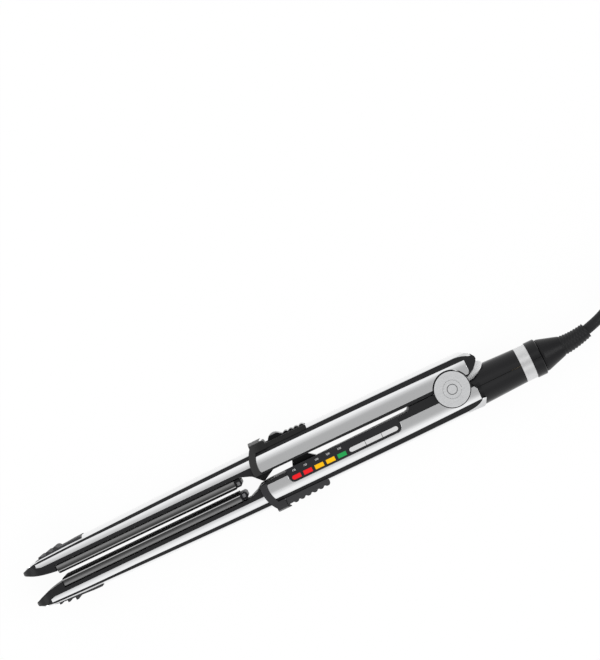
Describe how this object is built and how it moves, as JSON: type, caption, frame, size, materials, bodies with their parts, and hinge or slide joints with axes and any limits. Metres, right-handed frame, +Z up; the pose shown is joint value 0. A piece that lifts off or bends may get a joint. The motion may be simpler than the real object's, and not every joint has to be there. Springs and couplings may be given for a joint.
{
  "type": "hair straightener",
  "caption": "Hair straightener lying on its side, with two hinged arms, floating heated plates, a key strip, and a swivelling mains cord folded into a tied hank.",
  "frame": {"origin": "on the hinge axis, at the underside of the lower hinge cap that the part lies on", "axes": "+X along the tool from the tips towards the cord, +Y towards the upper arm (the way it opens), +Z up along the hinge axis"},
  "size_m": [0.488, 0.0567, 0.0415],
  "materials": {
    "frame_plastic": "satin black moulded frames, nose caps",
    "chrome_shell": "mirror-like plated covers and side panels",
    "satin_black": "satin black collars and tail",
    "grip_rubber": "soft ribbed grip and tip pads",
    "gloss_black": "glossy black control strip, slide and lug",
    "holder_alloy": "cast plate holders",
    "plate_coating": "dark smooth plate coating",
    "heater_ceramic": "ceramic heater body",
    "clip_plastic": "heat resistant clip",
    "pad_silicone": "silicone cushion",
    "lead_silicone": "insulated lead",
    "steel": "bare steel",
    "hub_disc": "brushed hinge caps",
    "brass": "brass washers and contacts",
    "red_window": "red light window",
    "yellow_window": "yellow light window",
    "green_window": "green light window",
    "key_grey": "light grey key",
    "board_green": "circuit board",
    "switch_black": "tact switch body",
    "cord_pvc": "black flexible cord sheath and plug",
    "pin_nickel": "nickel plated contact pins"
  },
  "bodies": {
    "lower_arm": {"lower_frame": "frame_plastic", "lower_cover": "chrome_shell", "lower_panel_top": "chrome_shell", "lower_panel_under": "chrome_shell", "lower_collar": "satin_black", "lower_grip": "grip_rubber", "lower_tip_pad": "grip_rubber", "lower_nose": "frame_plastic", "lower_float_pads": "pad_silicone", "lower_leads": "lead_silicone", "lower_screws": "steel", "guide_lug": "gloss_black", "fascia": "gloss_black", "led_red": "red_window", "led_yellow": "yellow_window", "led_green": "green_window", "control_board": "board_green", "tact_switches": "switch_black", "board_screws": "steel", "hinge_pin": "steel", "hinge_washers": "brass", "hinge_cap_top": "hub_disc", "hinge_cap_under": "hub_disc", "hinge_bracket": "steel", "tail_shell_upper": "satin_black", "tail_shell_lower": "satin_black", "tail_band": "chrome_shell", "swivel_socket": "brass"},
    "upper_arm": {"upper_frame": "frame_plastic", "upper_cover": "chrome_shell", "upper_panel_top": "chrome_shell", "upper_panel_under": "chrome_shell", "upper_collar": "satin_black", "upper_tip_pad": "grip_rubber", "upper_nose": "frame_plastic", "upper_float_pads": "pad_silicone", "upper_leads": "lead_silicone", "upper_screws": "steel", "hinge_spring": "steel"},
    "upper_plate_unit": {"upper_holder": "holder_alloy", "upper_plate": "plate_coating", "upper_heater": "heater_ceramic", "upper_plate_clip": "clip_plastic"},
    "lower_plate_unit": {"lower_holder": "holder_alloy", "lower_plate": "plate_coating", "lower_heater": "heater_ceramic", "lower_plate_clip": "clip_plastic"},
    "lock": {"lock_slide": "gloss_black"},
    "minus_key": {"key_minus": "key_grey"},
    "power_key": {"key_power": "key_grey"},
    "plus_key": {"key_plus": "key_grey"},
    "cord_side": {"swivel_hub": "satin_black", "swivel_cone": "satin_black", "cord_boot": "cord_pvc", "cord_run": "cord_pvc", "cord_hank": "cord_pvc", "hank_tie": "satin_black", "plug_body": "cord_pvc", "plug_pins": "pin_nickel"}
  },
  "joints": [
    {"name": "arm_hinge", "type": "hinge", "parent": "lower_arm", "child": "upper_arm", "pos_m": [0, 0, 0.018], "axis": [0, 0, -1], "range_deg": [-0.55, 12.5], "stiffness_Nm_per_rad": 0.6},
    {"name": "upper_plate_float", "type": "slide", "parent": "upper_arm", "child": "upper_plate_unit", "axis": [0, 1, 0], "range_m": [0, 0.0005], "stiffness_N_per_m": 3000},
    {"name": "lower_plate_float", "type": "slide", "parent": "lower_arm", "child": "lower_plate_unit", "axis": [0, -1, 0], "range_m": [0, 0.0005], "stiffness_N_per_m": 3000},
    {"name": "lock_travel", "type": "slide", "parent": "upper_arm", "child": "lock", "axis": [-1, 0, 0], "range_m": [0, 0.0012]},
    {"name": "minus_key_press", "type": "slide", "parent": "lower_arm", "child": "minus_key", "axis": [0, 0, -1], "range_m": [0, 0.0004], "stiffness_N_per_m": 1200},
    {"name": "power_key_press", "type": "slide", "parent": "lower_arm", "child": "power_key", "axis": [0, 0, -1], "range_m": [0, 0.0004], "stiffness_N_per_m": 1200},
    {"name": "plus_key_press", "type": "slide", "parent": "lower_arm", "child": "plus_key", "axis": [0, 0, -1], "range_m": [0, 0.0004], "stiffness_N_per_m": 1200},
    {"name": "cord_swivel", "type": "hinge", "parent": "lower_arm", "child": "cord_side", "pos_m": [0.0485, -0.005, 0.018], "axis": [1, 0, 0], "continuous": true}
  ]
}
